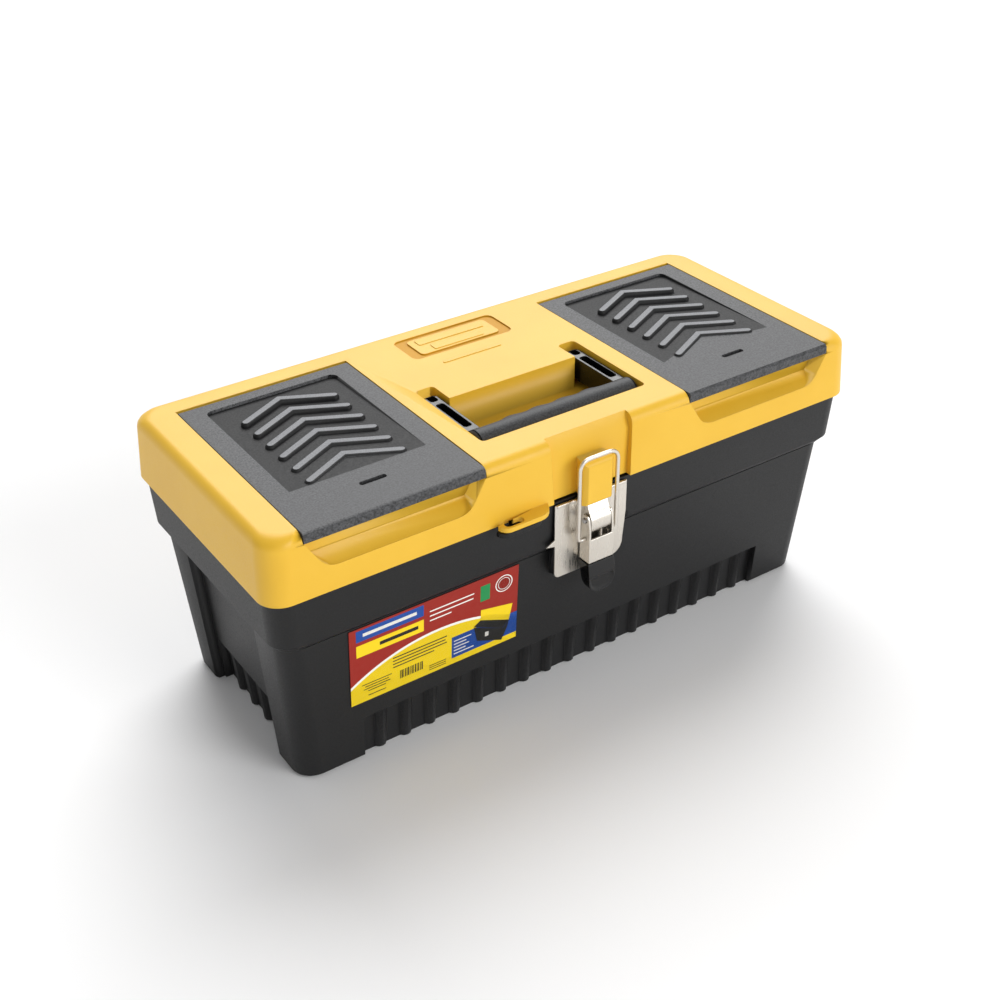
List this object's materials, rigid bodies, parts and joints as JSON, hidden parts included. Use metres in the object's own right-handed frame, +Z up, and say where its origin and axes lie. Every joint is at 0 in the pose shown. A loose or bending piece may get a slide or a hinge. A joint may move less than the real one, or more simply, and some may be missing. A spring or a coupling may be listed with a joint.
{
  "type": "toolbox",
  "caption": "Portable plastic toolbox with lift-out tray, hinged lid with flip-cover organizers, fold-down carrying handle and steel draw latch.",
  "frame": {"origin": "bottom centre of the whole object's bounding box, on the surface that it stands on", "axes": "+X to the right seen from the front, +Y to the back where the lid's hinges are, +Z up"},
  "size_m": [0.43, 0.2018, 0.1846],
  "materials": {
    "black_shell": "fine moulded texture, satin black",
    "yellow_shell": "fine moulded texture, satin yellow",
    "cover_plastic": "grained, matt charcoal",
    "handle_plastic": "smooth, glossy black",
    "grip_plastic": "grained, matt dark grey",
    "plated_steel": "bright nickel plate",
    "pin_steel": "drawn, plain",
    "finger_tip_plastic": "smooth, glossy black",
    "printed_label": "printed film in plain blocks of red, yellow and blue"
  },
  "bodies": {
    "base": {"base_tub": "black_shell", "latch_plate": "plated_steel", "latch_pivot_pin": "pin_steel", "lid_hinge_pin_left": "pin_steel", "lid_hinge_pin_right": "pin_steel", "front_label": "printed_label"},
    "lid": {"lid_shell": "yellow_shell", "handle_pin_left": "pin_steel", "handle_pin_right": "pin_steel", "organizer_divider_left_1": "black_shell", "organizer_divider_left_2": "black_shell", "organizer_divider_right_1": "black_shell", "organizer_divider_right_2": "black_shell", "organizer_bin_left": "yellow_shell", "organizer_bin_right": "yellow_shell"},
    "cover_left": {"organizer_cover_left": "cover_plastic"},
    "cover_right": {"organizer_cover_right": "cover_plastic"},
    "handle": {"handle_frame": "handle_plastic", "handle_grip": "grip_plastic"},
    "latch_lever": {"latch_lever": "plated_steel", "latch_finger_tip": "finger_tip_plastic"},
    "latch_bail": {"latch_bail": "plated_steel"},
    "tray": {"tray": "black_shell", "tray_grip": "yellow_shell"}
  },
  "joints": [
    {"name": "lid_hinge", "type": "hinge", "parent": "base", "child": "lid", "pos_m": [0, 0.09692, 0.138], "axis": [-1, 0, 0], "range_deg": [0, 105]},
    {"name": "cover_left_hinge", "type": "hinge", "parent": "lid", "child": "cover_left", "pos_m": [-0.1325, 0.06907, 0.1809], "axis": [-1, 0, 0], "range_deg": [0, 100]},
    {"name": "cover_right_hinge", "type": "hinge", "parent": "lid", "child": "cover_right", "pos_m": [0.1325, 0.06907, 0.1809], "axis": [-1, 0, 0], "range_deg": [0, 100]},
    {"name": "handle_fold", "type": "hinge", "parent": "lid", "child": "handle", "pos_m": [0, 0.00337, 0.1735], "axis": [-1, 0, 0], "range_deg": [0, 90]},
    {"name": "latch_lever_swing", "type": "hinge", "parent": "base", "child": "latch_lever", "pos_m": [0, -0.09413, 0.127], "axis": [-1, 0, 0], "range_deg": [0, 130]},
    {"name": "latch_bail_swing", "type": "hinge", "parent": "latch_lever", "child": "latch_bail", "pos_m": [0, -0.09453, 0.114], "axis": [1, 0, 0], "range_deg": [0, 182]},
    {"name": "tray_lift", "type": "slide", "parent": "base", "child": "tray", "axis": [0, 0, 1], "range_m": [0, 0.01]}
  ],
  "couplings": [
    {"joint": "latch_bail_swing", "follows": "latch_lever_swing", "ratio": 1.4}
  ]
}
